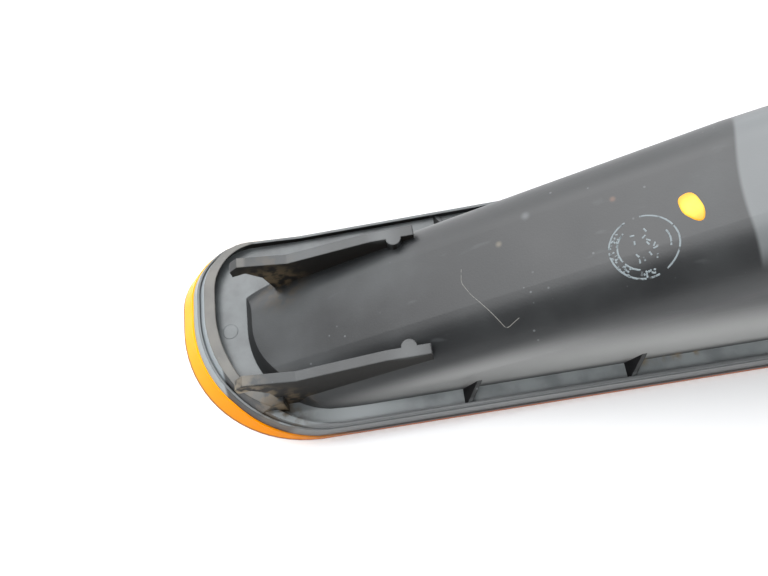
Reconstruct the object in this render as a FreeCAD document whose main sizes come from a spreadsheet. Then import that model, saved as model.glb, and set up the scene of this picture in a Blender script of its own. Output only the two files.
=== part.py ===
"""Front indicator lamp, lying on its lens with the back of the housing upwards.

X runs along the lamp, Y across it and Z away from the lens. The origin is the centre of
the lens face. Lengths are millimetres, angles are degrees.
"""
import FreeCAD
import Part
import math
import operator
import os
import Sketcher

# Driving dimensions. Stations along the lamp are measured from the left tip of the lens.
DIMENSIONS = {
    # outline of the lens face
    "lamp_length": 230.0,
    "near_reach": 20.5,
    "far_reach": 24.3,
    "near_corner": 29.0,
    "far_corner": 11.0,
    "right_corner": 15.0,
    # the mould opens along a line that leans towards the right end
    "draw_lean": 40.0,
    "draw_height": 14.0,
    # lens: front plate, rim, the parting line that climbs at the left end, and flutes inside
    "lens_plate": 2.2,
    "lens_rim": 2.2,
    "parting_side": 1.2,
    "parting_end": 4.0,
    "ramp_start": 12.0,
    "ramp_length": 16.0,
    "flute_pitch": 10.0,
    "flute_bulge": 0.7,
    "flute_radius": 18.4,
    "flute_first": 40.0,
    "flute_last": 34.0,
    "flute_width": 26.0,
    # bead between lens and housing
    "bead_inset": 2.8,
    "bead_width": 1.2,
    "bead_height": 0.7,
    # housing flange: skirt, channel floor, and a ledge and a ridge that are wider round the left end
    "skirt_inset": 0.3,
    "fit_gap": 0.2,
    "floor_side": 3.9,
    "floor_end": 4.8,
    "ledge_side": 0.2,
    "ledge_end": 0.6,
    "ledge_side_height": 4.4,
    "ledge_end_height": 5.7,
    "ridge_gap": 0.3,
    "ridge_side": 0.6,
    "ridge_end": 2.4,
    "ridge_side_height": 5.1,
    "ridge_end_height": 6.9,
    # hollow back: round nose, long slope, gentle slope, level crown and bevelled end
    "bulge_left": 11.6,
    "bulge_width": 32.4,
    "bulge_near_corner": 20.0,
    "bulge_far_corner": 6.0,
    "wall": 2.0,
    "shoulder_round": 9.5,
    "back_start": 10.0,
    "back_start_height": 3.9,
    "crease_height": 38.0,
    "crown_span": 97.0,
    "crown_run": 22.0,
    "crown_lift": 6.0,
    "end_margin": 25.0,
    "end_bevel": 2.0,
    # clip rails on the back, each with a hook at the left and a peg at the right
    "rail_spacing": 25.0,
    "rail_thick": 2.1,
    "rail_tip": 15.6,
    "hook_length": 2.8,
    "hook_nose": 1.9,
    "hook_low": 6.0,
    "hook_high": 8.0,
    "nose_rise": 9.6,
    "arch_length": 4.6,
    "arch_rise": 6.6,
    "arch_foot": 3.6,
    "kink_length": 4.3,
    "kink_rise": 7.6,
    "beam_length": 17.5,
    "strip_length": 8.4,
    "strip_rise": 1.3,
    "embed": 0.8,
    "peg_radius": 1.5,
    "peg_inset": 4.4,
    "block_start": 12.0,
    "block_length": 11.0,
    "block_height": 9.0,
    "block_width": 5.0,
    # triangular fins in the channel
    "fin_first": 57.6,
    "fin_pitch": 31.4,
    "fin_last": 40.0,
    "fin_thick": 0.9,
    "fin_height": 4.4,
    "fin_toe": 0.2,
    # round neck for the bulb holder, and the screw lug on the right end wall
    "bulb_inset": 45.0,
    "neck_radius": 15.5,
    "neck_bore": 13.5,
    "neck_rise": 5.0,
    "neck_depth": 13.0,
    "lug_reach": 10.0,
    "lug_radius": 7.0,
    "lug_thick": 3.0,
    "lug_level": 20.0,
    "lug_hole": 2.75,
    "lug_rib": 2.0,
    "lug_rib_depth": 7.0,
    # reflector, a bright liner round the bulb
    "liner_thick": 1.0,
    "liner_foot": 5.0,
    # bayonet bulb, tip towards the lens
    "glass_clearance": 0.5,
    "glass_length": 30.0,
    "glass_bands": 5,
    "glass_sides": 24,
    "glass_tip_angle": 15.0,
    "glass_wall": 0.8,
    "glass_neck": 6.7,
    "cap_radius": 7.5,
    "cap_wall": 0.5,
    "cap_length": 17.5,
    "cap_stand": 9.5,
    "pin_drop": 7.3,
    "pin_radius": 1.0,
    "pin_reach": 1.1,
    "insulator_thick": 2.0,
    "contact_radius": 2.2,
    "contact_rise": 1.6,
    "stem_radius": 4.0,
    "stem_length": 12.0,
    "coil_drop": 6.0,
    "coil_radius": 0.6,
    "coil_length": 6.0,
    "wire_radius": 0.35,
    # twist-in bulb holder with its plug inlet
    "plug_radius": 13.2,
    "plug_depth": 4.0,
    "holder_flange": 17.5,
    "flange_thick": 3.0,
    "seal_thick": 1.0,
    "seal_inner": 13.8,
    "barrel_radius": 10.8,
    "barrel_height": 16.0,
    "groove_width": 2.6,
    "grip_width": 3.0,
    "grip_reach": 15.5,
    "inlet_reach": 29.0,
    "inlet_width": 17.0,
    "inlet_wall": 1.6,
    "inlet_depth": 15.0,
    # terminals
    "blade_width": 6.3,
    "blade_thick": 0.8,
    "blade_reach": 26.0,
    "earth_rise": 5.6,
    "earth_drop": 8.1,
}

OPERATIONS = {"+": operator.add, "-": operator.sub, "*": operator.mul, "/": operator.truediv}

doc = FreeCAD.newDocument("indicator_lamp")
sheet = doc.addObject("Spreadsheet::Sheet", "Sizes")


class Size:
    """A number together with the formula that ties it to the sheet of dimensions."""

    def __init__(self, value, text):
        self.value = value
        self.text = text

    def join(self, other, sign, turned=False):
        """This size and another one, put together by one sign of arithmetic."""
        if not isinstance(other, Size):
            other = Size(float(other), repr(float(other)))
        first, second = (other, self) if turned else (self, other)
        value = OPERATIONS[sign](first.value, second.value)
        return Size(value, f"({first.text} {sign} {second.text})")

    def __add__(self, other):
        return self.join(other, "+")

    def __radd__(self, other):
        return self.join(other, "+", turned=True)

    def __sub__(self, other):
        return self.join(other, "-")

    def __rsub__(self, other):
        return self.join(other, "-", turned=True)

    def __mul__(self, other):
        return self.join(other, "*")

    def __rmul__(self, other):
        return self.join(other, "*", turned=True)

    def __truediv__(self, other):
        return self.join(other, "/")

    def __neg__(self):
        return 0.0 - self

    def tangent(self):
        """The tangent of this size, read as an angle in degrees."""
        return Size(math.tan(math.radians(self.value)), f"tan({self.text} * 1 deg)")

    def mitre(self, other):
        """The slope halfway by angle between this slope and another one."""
        value = math.tan((math.atan(self.value) + math.atan(other.value)) / 2)
        return Size(value, f"tan((atan({self.text}) + atan({other.text})) / 2)")


class Sizes:
    """Every dimension of the sheet under its own name."""


def fill_sheet():
    """One named cell for each driving dimension."""
    named = Sizes()
    for row, (name, value) in enumerate(DIMENSIONS.items(), start=1):
        sheet.set(f"A{row}", name)
        sheet.set(f"B{row}", str(value))
        sheet.setAlias(f"B{row}", name)
        setattr(named, name, Size(float(value), f"Sizes.{name}"))
    doc.recompute()
    return named


s = fill_sheet()
ZERO = Size(0.0, "0")
LEAN = s.draw_lean.tangent()
SIDES = {"near": -1, "far": 1}

FLAT = FreeCAD.Rotation()
UPRIGHT_LONG = FreeCAD.Rotation(FreeCAD.Vector(1, 0, 0), 90)
UPRIGHT_CROSS = FreeCAD.Rotation(
    FreeCAD.Vector(0, 1, 0), FreeCAD.Vector(0, 0, 1), FreeCAD.Vector(1, 0, 0), "ZXY")
ACROSS = FreeCAD.Rotation(FreeCAD.Vector(1, 0, 0), -90)
ALONG = FreeCAD.Rotation(FreeCAD.Vector(0, 1, 0), 90)

# height over the ball's centre at which the bulb's throat begins, as a share of the radius
THROAT_SINE = 0.6


def station(distance):
    """X of a place measured from the left tip of the lens."""
    return distance - s.lamp_length / 2


def bind(thing, **formulas):
    """Ties properties of an object to sizes; a double underscore stands for a dot."""
    for path, size in formulas.items():
        thing.setExpression(path.replace("__", "."), size.text)


def vector(x, y):
    """A point of a sketch."""
    return FreeCAD.Vector(x, y, 0)


def new_sketch(name, rotation, level=ZERO):
    """An empty sketch, turned to its plane and moved to a place on the axis across that plane."""
    sketch = doc.addObject("Sketcher::SketchObject", name)
    sketch.Placement = FreeCAD.Placement(FreeCAD.Vector(), rotation)
    normal = rotation.multVec(FreeCAD.Vector(0, 0, 1))
    axis = max("xyz", key=lambda letter: abs(getattr(normal, letter)))
    sketch.setExpression(f"Placement.Base.{axis}", level.text)
    return sketch


def dimension(sketch, kind, size, *where):
    """A driving dimension of a sketch."""
    index = sketch.addConstraint(Sketcher.Constraint(kind, *where, size.value))
    sketch.setExpression(f"Constraints[{index}]", size.text)


def pin_point(sketch, geometry, end, x, y):
    """Both coordinates of one point of a sketch."""
    dimension(sketch, "DistanceX", x, -1, 1, geometry, end)
    dimension(sketch, "DistanceY", y, -1, 1, geometry, end)


def outline_of_corners(sketch, corners):
    """Straight edges round a list of corners, added to a sketch."""
    first = sketch.GeometryCount
    count = len(corners)
    points = [vector(x.value, y.value) for x, y in corners]
    for index in range(count):
        sketch.addGeometry(Part.LineSegment(points[index], points[(index + 1) % count]), False)
    for index in range(count):
        after = first + (index + 1) % count
        sketch.addConstraint(Sketcher.Constraint("Coincident", first + index, 2, after, 1))
    for index, (x, y) in enumerate(corners):
        pin_point(sketch, first + index, 1, x, y)


def profile(name, rotation, corners, level=ZERO):
    """A closed outline of straight edges."""
    sketch = new_sketch(name, rotation, level)
    outline_of_corners(sketch, corners)
    return sketch


def arc(centre, radius, start, end):
    """A circular arc between two of its points, counter-clockwise."""
    angles = [math.atan2(point.y - centre.y, point.x - centre.x) for point in (start, end)]
    if angles[1] < angles[0]:
        angles[1] += 2 * math.pi
    return Part.ArcOfCircle(Part.Circle(centre, FreeCAD.Vector(0, 0, 1), radius), *angles)


def plan_outline(name, left, right, near, far, corners):
    """Lamp-shaped plan: straight edges between two ends and two sides, each corner rounded.

    The corners are given in the order near left, near right, far right, far left.
    """
    sketch = new_sketch(name, FLAT)
    places = [(left, near), (right, near), (right, far), (left, far)]
    inward = [(1, 1), (-1, 1), (-1, -1), (1, -1)]
    rounds = []
    for (x, y), (along, across), corner in zip(places, inward, corners):
        centre = vector(x.value + along * corner.value, y.value + across * corner.value)
        on_end = vector(x.value, centre.y)
        on_side = vector(centre.x, y.value)
        rounds.append((centre, on_end, on_side))
    near_left, near_right, far_right, far_left = rounds
    pieces = [
        Part.LineSegment(far_left[1], near_left[1]),
        arc(near_left[0], corners[0].value, near_left[1], near_left[2]),
        Part.LineSegment(near_left[2], near_right[2]),
        arc(near_right[0], corners[1].value, near_right[2], near_right[1]),
        Part.LineSegment(near_right[1], far_right[1]),
        arc(far_right[0], corners[2].value, far_right[1], far_right[2]),
        Part.LineSegment(far_right[2], far_left[2]),
        arc(far_left[0], corners[3].value, far_left[2], far_left[1]),
    ]
    for piece in pieces:
        sketch.addGeometry(piece, False)
    for index in range(len(pieces)):
        after = (index + 1) % len(pieces)
        sketch.addConstraint(Sketcher.Constraint("Tangent", index, 2, after, 1))
    for end in (0, 4):
        sketch.addConstraint(Sketcher.Constraint("Vertical", end))
    for side in (2, 6):
        sketch.addConstraint(Sketcher.Constraint("Horizontal", side))
    for geometry, corner in zip((1, 3, 5, 7), corners):
        dimension(sketch, "Radius", corner, geometry)
    dimension(sketch, "DistanceX", left, -1, 1, 0, 1)
    dimension(sketch, "DistanceX", right, -1, 1, 4, 1)
    dimension(sketch, "DistanceY", near, -1, 1, 2, 1)
    dimension(sketch, "DistanceY", far, -1, 1, 6, 1)
    return sketch


def arch_section(name, half, shoulder, depth):
    """Section of an arch hung from its roof line: level foot, upright walls and round shoulders."""
    sketch = doc.addObject("Sketcher::SketchObject", name)
    reach = half.value - shoulder.value
    spring = -shoulder.value
    low_right = vector(half.value, -depth.value)
    low_left = vector(-half.value, -depth.value)
    spring_right = vector(half.value, spring)
    spring_left = vector(-half.value, spring)
    top_right = vector(reach, 0)
    top_left = vector(-reach, 0)
    pieces = [
        Part.LineSegment(low_left, low_right),
        Part.LineSegment(low_right, spring_right),
        arc(vector(reach, spring), shoulder.value, spring_right, top_right),
        Part.LineSegment(top_right, top_left),
        arc(vector(-reach, spring), shoulder.value, top_left, spring_left),
        Part.LineSegment(spring_left, low_left),
    ]
    for piece in pieces:
        sketch.addGeometry(piece, False)
    for before, after in ((0, 1), (5, 0)):
        sketch.addConstraint(Sketcher.Constraint("Coincident", before, 2, after, 1))
    for before, after in ((1, 2), (2, 3), (3, 4), (4, 5)):
        sketch.addConstraint(Sketcher.Constraint("Tangent", before, 2, after, 1))
    for wall in (1, 5):
        sketch.addConstraint(Sketcher.Constraint("Vertical", wall))
    sketch.addConstraint(Sketcher.Constraint("Horizontal", 3))
    pin_point(sketch, 0, 1, -half, -depth)
    pin_point(sketch, 0, 2, half, -depth)
    dimension(sketch, "DistanceY", ZERO, -1, 1, 3, 1)
    for shoulder_arc in (2, 4):
        dimension(sketch, "Radius", shoulder, shoulder_arc)
    return sketch


def extrude(name, sketch, x=ZERO, y=ZERO, z=ZERO):
    """A solid drawn out of a sketch along a vector."""
    solid = doc.addObject("Part::Extrusion", name)
    solid.Base = sketch
    solid.DirMode = "Custom"
    solid.Solid = True
    solid.LengthFwd = 0
    solid.LengthRev = 0
    solid.Dir = FreeCAD.Vector(x.value, y.value, z.value)
    bind(solid, Dir__x=x, Dir__y=y, Dir__z=z)
    return solid


def leaned(name, sketch, height=None):
    """A solid drawn out of a plan along the mould's leaning line."""
    rise = height or s.draw_height
    return extrude(name, sketch, x=rise * LEAN, z=rise)


def cross(name, corners, y_from, y_to):
    """A solid with a side view of straight edges, between two places across the lamp."""
    sketch = profile(f"{name}_profile", UPRIGHT_LONG, corners, level=y_from)
    return extrude(name, sketch, y=y_to - y_from)


def cylinder(name, radius, x, y, z, height):
    """An upright cylinder."""
    solid = doc.addObject("Part::Cylinder", name)
    bind(solid, Radius=radius, Height=height, Placement__Base__x=x, Placement__Base__y=y,
         Placement__Base__z=z)
    return solid


def box(name, x, y, z):
    """A block between pairs of coordinates."""
    solid = doc.addObject("Part::Box", name)
    bind(solid, Length=x[1] - x[0], Width=y[1] - y[0], Height=z[1] - z[0],
         Placement__Base__x=x[0], Placement__Base__y=y[0], Placement__Base__z=z[0])
    return solid


def fuse(name, *shapes):
    """Several shapes made one."""
    joined = doc.addObject("Part::MultiFuse", name)
    joined.Shapes = list(shapes)
    joined.Refine = True
    return joined


def common(name, *shapes):
    """What several shapes share."""
    shared = doc.addObject("Part::MultiCommon", name)
    shared.Shapes = list(shapes)
    return shared


def cut(name, base, *tools):
    """A shape with others taken away from it."""
    for index, tool in enumerate(tools, start=1):
        label = name if index == len(tools) else f"{name}_step{index}"
        cutting = doc.addObject("Part::Cut", label)
        cutting.Base = base
        cutting.Tool = tool
        base = cutting
    return base


def arch_run(name, half, shoulder, slope, start, finish, foot):
    """One straight stretch of an arch, square to its roof line, between two mitred joints.

    A joint is an X, a height of the roof and the lean of the joint's plane.
    """
    (x, top, lean), (next_x, next_top, next_lean) = start, finish
    depth = CROWN_TOP + s.wall
    section = arch_section(f"{name}_section", half, shoulder, depth)
    place = f"create(<<vector>>; {(x - depth).text}; 0; {(top - slope * depth).text})"
    tilt = f"create(<<rotation>>; create(<<vector>>; 0; 1; 0); -atan({slope.text}))"
    upright = "create(<<rotation>>; create(<<vector>>; 1; 1; 1); 120 deg)"
    section.setExpression("Placement", f"create(<<placement>>; {place}; {tilt} * {upright})")
    length = next_x - x + depth * 2
    stretch = extrude(f"{name}_stretch", section, x=length, z=length * slope)
    corners = [
        (x + lean * (top - foot), foot), (next_x + next_lean * (next_top - foot), foot),
        (next_x - next_lean * s.wall, next_top + s.wall), (x - lean * s.wall, top + s.wall),
    ]
    return common(name, stretch, cross(f"{name}_zone", corners, -s.bulge_width, s.bulge_width))


def faceted(name, side_view):
    """A body of flat bands about the bulb's axis: what its side view leaves when seen from all round."""
    outline = [*side_view, *((-radius, height) for radius, height in side_view[::-1])]
    views = int(s.glass_sides.value) // 2
    reach = GLASS_RADIUS * views
    body = None
    for index in range(views):
        angle = math.pi * index / views
        turn = FreeCAD.Rotation(FreeCAD.Vector(0, 0, 1), math.degrees(angle))
        sketch = profile(f"{name}_view{index}", turn * UPRIGHT_LONG, outline)
        bind(sketch, Placement__Base__x=BULB_X)
        slab = extrude(f"{name}_slab{index}", sketch, x=reach * math.sin(angle), y=-reach * math.cos(angle))
        slab.Symmetric = True
        body = common(f"{name}_round{index}", body, slab) if body else slab
    return body


def lamp_plan(name, side, end):
    """The lamp's plan at the lens face, drawn in by one inset at the sides and one at the left end."""
    half_length = s.lamp_length / 2
    corners = [corner - side for corner in
               (s.near_corner, s.right_corner, s.right_corner, s.far_corner)]
    return plan_outline(name, end - half_length, half_length - side,
                        side - s.near_reach, s.far_reach - side, corners)


def lamp_prism(name, side, end=None):
    """The lamp's plan drawn up along the mould's leaning line."""
    return leaned(name, lamp_plan(f"{name}_plan", side, end or side))


def layer(name, low, high):
    """A layer right across the lamp; each face is a side height and a left end height."""
    margin = s.draw_height
    left = station(ZERO) - margin
    right = station(s.lamp_length) + margin * 2
    start = station(s.ramp_start)
    finish = start + s.ramp_length
    corners = [
        (left, low[1]), (start, low[1]), (finish, low[0]), (right, low[0]),
        (right, high[0]), (finish, high[0]), (start, high[1]), (left, high[1]),
    ]
    return cross(name, corners, -s.near_reach * 2, s.far_reach * 2)


# heights of the faces of the layers, each as a side height and a left end height
PARTING = (s.parting_side, s.parting_end)
FLOOR = (s.floor_side, s.floor_end)
LEDGE = (s.ledge_side_height, s.ledge_end_height)
RIDGE = (s.ridge_side_height, s.ridge_end_height)
PLATE_TOP = (s.lens_plate, s.lens_plate)
UNDERSIDE = (s.lens_plate + s.fit_gap, s.lens_plate + s.fit_gap)
FACE = (ZERO, ZERO)
CEILING = (s.draw_height - s.embed, s.draw_height - s.embed)

# insets of the ledge and the ridge from the lens outline, each at the sides and at the left end
LEDGE_INNER = (s.skirt_inset + s.ledge_side, s.skirt_inset + s.ledge_end)
RIDGE_OUTER = (LEDGE_INNER[0], LEDGE_INNER[1] + s.ridge_gap)
RIDGE_INNER = (RIDGE_OUTER[0] + s.ridge_side, RIDGE_OUTER[1] + s.ridge_end)

# places along the hollow back and heights of what stands on its crown
END_X = station(s.lamp_length) - s.end_margin
CREASE_X = END_X - s.crown_span
CROWN_X = CREASE_X + s.crown_run
BACK_X = station(s.back_start)
BACK_SLOPE = (s.crease_height - s.back_start_height) / (CREASE_X - BACK_X)
CROWN_TOP = s.crease_height + s.crown_lift
BULB_X = END_X - s.bulb_inset
GLASS_RADIUS = s.bulge_width / 2 - s.wall - s.fit_gap - s.liner_thick - s.glass_clearance
NECK_TOP = CROWN_TOP + s.neck_rise
NECK_FOOT = CROWN_TOP - s.neck_depth
FLANGE_LOW = NECK_TOP + s.seal_thick
FLANGE_TOP = FLANGE_LOW + s.flange_thick
BARREL_TOP = FLANGE_LOW + s.barrel_height
PLUG_FOOT = NECK_TOP - s.plug_depth
CAP_TOP = FLANGE_LOW + s.cap_stand
CAP_FOOT = CAP_TOP - s.cap_length
PIN_LEVEL = CAP_TOP - s.pin_drop
STUB_END = PIN_LEVEL - s.pin_radius * 2
CONTACT_TOP = CAP_TOP + s.contact_rise
GLASS_TIP = CAP_FOOT - s.glass_length
STEM_FOOT = CAP_FOOT - s.stem_length
COIL_LEVEL = STEM_FOOT - s.coil_drop
EARTH_LEVEL = FLANGE_LOW + s.earth_rise


def back_height(distance):
    """Height of the long slope at a station."""
    return s.back_start_height + (station(distance) - BACK_X) * BACK_SLOPE


def make_lens():
    """Front plate with a rim that climbs round the left end, and round flutes inside."""
    below_parting = layer("below_parting", FACE, PARTING)
    rim = common("lens_rim_block", lamp_prism("lens_prism", ZERO), below_parting)
    inner = lamp_prism("lens_inner_prism", s.lens_rim)
    hollow = common("lens_hollow", inner, layer("above_plate", PLATE_TOP, CEILING))
    plate = common("lens_plate_block", inner, layer("plate_layer", FACE, PLATE_TOP))
    half = s.flute_width / 2
    depth = s.flute_radius - s.flute_bulge
    fluted = s.lamp_length - s.flute_first - s.flute_last
    count = int(fluted.value / s.flute_pitch.value)
    flutes = []
    for index in range(count):
        flute = doc.addObject("Part::Cylinder", f"flute_{index}")
        flute.Placement = FreeCAD.Placement(FreeCAD.Vector(), ACROSS)
        bind(flute, Radius=s.flute_radius, Height=s.flute_width,
             Placement__Base__x=station(s.flute_first + index * s.flute_pitch),
             Placement__Base__y=-half, Placement__Base__z=s.lens_plate - depth)
        flutes.append(flute)
    first = station(s.flute_first - s.flute_pitch)
    last = station(s.flute_first + count * s.flute_pitch)
    window = box("flute_window", (first, last), (-half, half), (s.lens_plate / 2, s.lens_plate * 2))
    ridges = common("flute_ridges", fuse("flute_rods", *flutes), window)
    return fuse("lens", cut("lens_shell", rim, hollow), plate, ridges)


def bead_ring(name, gap):
    """The run of the sealing bead, with room round it."""
    outer = lamp_prism(f"{name}_outer", s.bead_inset - gap)
    inner = lamp_prism(f"{name}_inner", s.bead_inset + s.bead_width + gap)
    top = s.lens_plate + s.bead_height + gap
    band = common(f"{name}_band", outer, layer(f"{name}_layer", PLATE_TOP, (top, top)))
    return cut(name, band, inner)


def make_lens_seal():
    """Bead lying on the lens plate, in a groove under the housing's flange."""
    return bead_ring("lens_seal", ZERO)


def bulge_prism(name, inset):
    """Plan of the hollow back, with a round nose at the left, drawn up along the leaning line."""
    near = s.bulge_near_corner - inset
    far = s.bulge_far_corner - inset
    half = s.bulge_width / 2 - inset
    plan = plan_outline(f"{name}_plan", station(s.bulge_left) + inset, station(s.lamp_length),
                        -half, half, [near, near, far, far])
    return leaned(name, plan, CROWN_TOP + s.wall)


def arched_body(name, inset, sloped, end, foot):
    """Arch along the side view of the back, drawn in by an inset and cut off at a level foot."""
    stops = [(CREASE_X, s.crease_height - inset), (CROWN_X, CROWN_TOP - inset), (end, CROWN_TOP - inset)]
    if sloped:
        stops.insert(0, (BACK_X, s.back_start_height - inset))
    slopes = [(next_top - top) / (next_x - x) for (x, top), (next_x, next_top) in zip(stops, stops[1:])]
    leans = [ZERO, *(before.mitre(after) for before, after in zip(slopes, slopes[1:])), ZERO]
    joints = [(*stop, lean) for stop, lean in zip(stops, leans)]
    half = s.bulge_width / 2 - inset
    shoulder = s.shoulder_round - inset
    runs = [arch_run(f"{name}_run{index}", half, shoulder, slope, joints[index], joints[index + 1], foot)
            for index, slope in enumerate(slopes)]
    return fuse(name, *runs)


def ring(name, outer, inner, low, high):
    """A raised ring between two insets, each at the sides and at the left end, and two layers."""
    block = common(f"{name}_block", lamp_prism(f"{name}_outer", *outer),
                   layer(f"{name}_layer", low, high))
    return cut(name, block, lamp_prism(f"{name}_inner", *inner))


def make_flange():
    """Skirt, channel floor, ledge and ridge round the lens, with a pocket for the lens plate."""
    outline = (s.skirt_inset, s.skirt_inset)
    skirt = common("skirt", lamp_prism("skirt_prism", *outline), layer("skirt_layer", PARTING, FLOOR))
    inside = lamp_prism("inside_prism", s.lens_rim + s.fit_gap)
    floor = common("channel_floor", inside, layer("floor_layer", UNDERSIDE, FLOOR))
    ledge = ring("ledge", outline, LEDGE_INNER, PARTING, LEDGE)
    ridge = ring("ridge", RIDGE_OUTER, RIDGE_INNER, PARTING, RIDGE)
    pocket = common("plate_pocket", lamp_prism("pocket_prism", s.lens_rim - s.fit_gap),
                    layer("pocket_layer", FACE, UNDERSIDE))
    return cut("flange", fuse("flange_block", skirt, floor, ledge, ridge), pocket)


def make_rails():
    """Clip rails along the back, with a hook, an arch and a peg each, and a block by the near hook."""
    arch_start = s.rail_tip + s.hook_length
    arch_finish = arch_start + s.arch_length
    kink = arch_finish + s.kink_length
    strip_start = kink + s.beam_length
    strip_end = strip_start + s.strip_length
    peg_at = strip_start + s.peg_inset
    base = back_height(arch_finish)
    strip_top = back_height(peg_at) + s.strip_rise
    root = s.floor_side - s.embed / 2
    corners = [
        (s.rail_tip, base + s.hook_low), (arch_start, base + s.arch_rise),
        (arch_finish - s.hook_nose, base + s.arch_foot), (arch_finish, root), (strip_end, root),
        (strip_end, strip_top), (strip_start, strip_top), (kink, base + s.kink_rise),
        (s.rail_tip + s.hook_nose, base + s.nose_rise), (s.rail_tip, base + s.hook_high),
    ]
    side_view = [(station(x), z) for x, z in corners]
    half = s.rail_thick / 2
    shapes = []
    for side, sign in SIDES.items():
        middle = s.rail_spacing / 2 * sign
        rail = cross(f"{side}_rail", side_view, middle - half, middle + half)
        peg = cylinder(f"{side}_peg", s.peg_radius, station(peg_at), middle - half * sign,
                       root, strip_top - root)
        shapes += [rail, peg]
    return shapes + [make_block()]


def make_block():
    """Sloping block in the channel under the near hook."""
    low = s.floor_end - s.embed
    start = station(s.block_start)
    finish = start + s.block_length
    side_view = [(start, low), (finish, low), (finish, s.block_height), (start, s.ridge_end_height)]
    middle = -s.rail_spacing / 2
    half = s.block_width / 2
    bar = cross("block_bar", side_view, middle - half, middle + half)
    return common("block", bar, lamp_prism("block_prism", *LEDGE_INNER))


def make_fins():
    """Thin triangular fins across the channel, leaning with the mould."""
    plates = new_sketch("fin_plan", FLAT)
    shift = s.floor_side * LEAN
    finned = s.lamp_length - s.fin_first - s.fin_last
    for index in range(int(finned.value / s.fin_pitch.value) + 1):
        start = station(s.fin_first + index * s.fin_pitch) - shift
        finish = start + s.fin_thick
        outline_of_corners(plates, [(start, -s.near_reach), (finish, -s.near_reach),
                                    (finish, s.far_reach), (start, s.far_reach)])
    plate_row = leaned("fin_plates", plates)
    root = s.bulge_width / 2 - s.embed
    lip = RIDGE_INNER[0] - s.ridge_side / 2
    foot = s.floor_side - s.embed / 2
    fins = []
    for (side, sign), reach in zip(SIDES.items(), (s.near_reach, s.far_reach)):
        toe = (reach - lip) * sign
        corners = [(root * sign, foot), (toe, foot), (toe, s.floor_side + s.fin_toe),
                   (root * sign, s.floor_side + s.fin_height)]
        sketch = profile(f"{side}_fin_profile", UPRIGHT_CROSS, corners, level=-s.lamp_length / 2)
        zone = extrude(f"{side}_fin_zone", sketch, x=s.lamp_length)
        fins.append(common(f"{side}_fins", plate_row, zone))
    return fins


def make_lug():
    """Screw lug standing out of the right end wall, with a rib under it."""
    tip = END_X + s.lug_reach
    root = END_X - s.wall / 2
    tongue = box("lug_tongue", (root, tip), (-s.lug_radius, s.lug_radius),
                 (s.lug_level, s.lug_level + s.lug_thick))
    end = cylinder("lug_end", s.lug_radius, tip, ZERO, s.lug_level, s.lug_thick)
    rib_view = [(root, s.lug_level - s.lug_rib_depth), (tip - s.lug_hole * 2, s.lug_level),
                (root, s.lug_level)]
    rib = cross("lug_rib_web", rib_view, -s.lug_rib / 2, s.lug_rib / 2)
    return [tongue, end, rib]


def make_housing():
    """The black moulding: flange, hollow back, neck, rails, fins and lug."""
    foot = s.lens_plate + s.fit_gap
    arch = common("arch", arched_body("back_arch", ZERO, True, END_X, foot), bulge_prism("nose", ZERO))
    bevel_view = [(END_X - s.end_bevel, CROWN_TOP), (END_X, CROWN_TOP - s.end_bevel),
                  (END_X + s.end_bevel, CROWN_TOP + s.end_bevel)]
    back = cut("back", arch, cross("end_wedge", bevel_view, -s.bulge_width, s.bulge_width))
    neck = on_bulb_axis("neck", s.neck_radius, NECK_FOOT, NECK_TOP)
    solid = fuse("housing_block", make_flange(), back, neck, *make_rails(), *make_fins(), *make_lug())
    hollow = common("hollow", arched_body("hollow_arch", s.wall, True, END_X - s.wall, ZERO),
                    bulge_prism("hollow_nose", s.wall))
    bore = on_bulb_axis("neck_hole", s.neck_bore, NECK_FOOT, FLANGE_TOP)
    screw_hole = cylinder("lug_screw_hole", s.lug_hole, END_X + s.lug_reach, ZERO,
                          s.lug_level - s.lug_thick, s.lug_thick * 3)
    return cut("housing", solid, hollow, bore, screw_hole, bead_ring("bead_groove", s.fit_gap / 2))


def make_reflector():
    """Bright liner inside the crown, open to the lens, with a hole for the bulb."""
    outside = s.wall + s.fit_gap
    inside = outside + s.liner_thick
    end = END_X - outside
    outer = arched_body("liner_outer", outside, False, end, s.liner_foot)
    inner = arched_body("liner_inner", inside, False, end - s.liner_thick, ZERO)
    hole = on_bulb_axis("liner_hole", s.neck_bore, NECK_FOOT, NECK_TOP)
    return cut("reflector", outer, inner, hole)


def on_bulb_axis(name, radius, low, high):
    """A cylinder on the bulb's axis between two heights."""
    return cylinder(name, radius, BULB_X, ZERO, low, high - low)


def glass_body(name, inset):
    """The glass from tip to stub, drawn in by an inset: a ball in bands, a tapering throat, a stub."""
    bands = int(s.glass_bands.value)
    centre = GLASS_TIP + GLASS_RADIUS
    radius = GLASS_RADIUS - inset
    tip = math.radians(s.glass_tip_angle.value) - math.pi / 2
    sweep = math.asin(THROAT_SINE) - tip
    angles = [tip + sweep * index / bands for index in range(bands + 1)]
    ball = [(radius * math.cos(angle), centre + radius * math.sin(angle)) for angle in angles]
    neck = s.glass_neck - inset
    return faceted(name, [*ball, (neck, CAP_FOOT), (neck, STUB_END)])


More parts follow.
